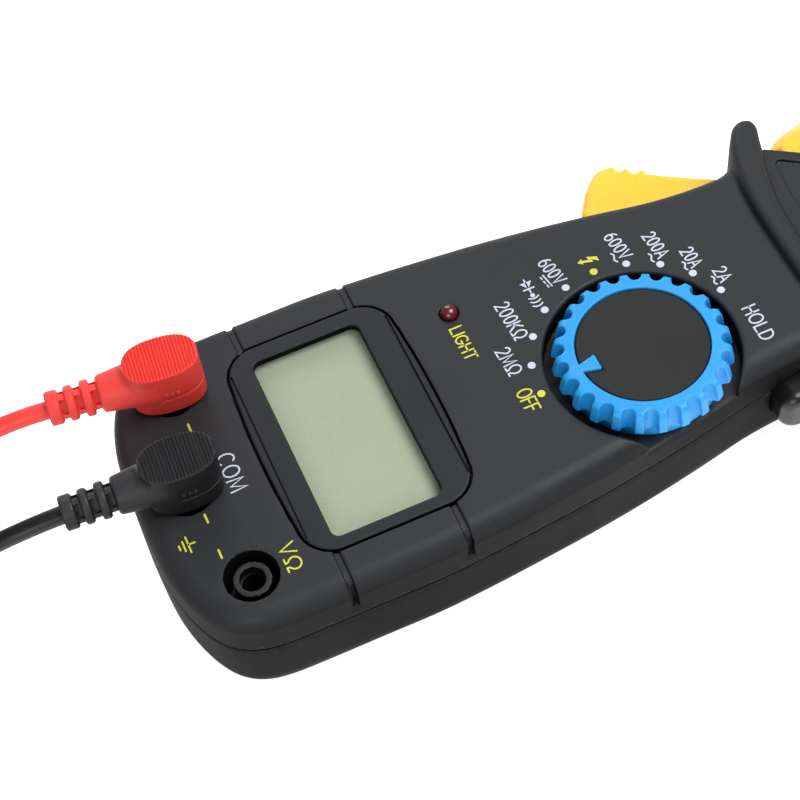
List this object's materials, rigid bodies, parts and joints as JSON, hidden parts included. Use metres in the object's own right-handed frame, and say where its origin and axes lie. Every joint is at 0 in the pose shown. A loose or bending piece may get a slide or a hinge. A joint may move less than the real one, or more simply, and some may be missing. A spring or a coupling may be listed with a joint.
{
  "type": "clamp meter",
  "caption": "Pocket clamp meter with a sprung jaw lever, rotary range knob, grey display, shrouded input jacks and a pair of test leads.",
  "frame": {"origin": "centre of the flat back on the body's centre line, midway between the jack end and the hand guard", "axes": "+Z out of the display face, +Y towards the jaws, +X away from the trigger side"},
  "size_m": [0.07, 0.386, 0.0367],
  "materials": {
    "case_black": "fine satin moulded ABS",
    "case_back": "fine satin moulded ABS",
    "frame_black": "smooth satin moulded frame",
    "window_clear": "clear acrylic window",
    "lcd_grey": "grey-green reflective display",
    "diffuser_white": "white light guide",
    "conductive_rubber": "layered conductive rubber",
    "board_green": "solder-masked glass epoxy board",
    "steel": "plain steel",
    "screw_dark": "blackened steel",
    "brass": "plated brass",
    "led_red": "dark red diffused lens",
    "knob_blue": "satin blue moulded plastic",
    "knob_disc": "fine matt insert",
    "rotor_ivory": "natural acetal",
    "button_black": "semi-gloss black button",
    "cell_green": "printed steel can",
    "jaw_yellow": "satin yellow moulded plastic",
    "core_steel": "laminated silicon steel",
    "copper": "enamelled copper winding",
    "wire_red": "insulated hook-up wire",
    "lead_red": "soft red PVC",
    "lead_black": "soft black PVC",
    "plug_red": "soft-touch red PVC moulding",
    "plug_black": "soft-touch black PVC moulding",
    "tie_grey": "twist tie"
  },
  "bodies": {
    "body": {"front_shell": "case_black", "back_shell": "case_back", "lcd_frame": "frame_black", "lcd_window": "window_clear", "lcd_glass": "lcd_grey", "lcd_backlight": "diffuser_white", "zebra_strips": "conductive_rubber", "main_board": "board_green", "board_screws": "steel", "case_screws": "screw_dark", "jack_sockets": "brass", "indicator_led": "led_red", "buzzer": "button_black", "measuring_chip": "button_black", "detent_ring": "rotor_ivory", "hold_switch": "steel", "battery_cells": "cell_green", "battery_contacts": "steel", "pivot_pin": "steel", "return_spring": "steel", "fixed_core": "core_steel", "fixed_coil": "copper", "coil_wires": "wire_red", "red_plug": "plug_red", "red_plug_pin": "brass", "red_lead": "lead_red", "red_lead_coil": "lead_red", "red_tie": "tie_grey", "red_probe": "plug_red", "red_probe_tip": "steel", "black_plug": "plug_black", "black_plug_pin": "brass", "black_lead": "lead_black", "black_lead_coil": "lead_black", "black_tie": "tie_grey", "black_probe": "plug_black", "black_probe_tip": "steel"},
    "jaw_lever": {"moving_jaw_front": "jaw_yellow", "moving_jaw_back": "jaw_yellow", "jaw_screws": "screw_dark", "moving_core": "core_steel", "moving_coil": "copper"},
    "range_knob": {"knob_ring": "knob_blue", "knob_disc": "knob_disc", "switch_rotor": "rotor_ivory", "switch_contacts": "brass", "detent_springs": "steel", "detent_balls": "steel"},
    "hold_button": {"hold_button": "button_black"},
    "battery_door": {"battery_cover": "case_back", "cover_screw": "screw_dark"}
  },
  "joints": [
    {"name": "jaw_hinge", "type": "hinge", "parent": "body", "child": "jaw_lever", "pos_m": [-0.01, 0.067, 0.0135], "axis": [0, 0, 1], "range_deg": [0, 20], "stiffness_Nm_per_rad": 0.4, "springref_deg": -20.05},
    {"name": "knob_turn", "type": "hinge", "parent": "body", "child": "range_knob", "pos_m": [0.0085, 0.0253, 0.026], "axis": [0, 0, 1], "range_deg": [-162, 0]},
    {"name": "hold_press", "type": "slide", "parent": "body", "child": "hold_button", "axis": [-1, 0, 0], "range_m": [0, 0.001], "stiffness_N_per_m": 1500, "springref_m": -0.0005},
    {"name": "battery_door_lift", "type": "slide", "parent": "body", "child": "battery_door", "axis": [0, 0, -1], "range_m": [0, 0.02]}
  ]
}
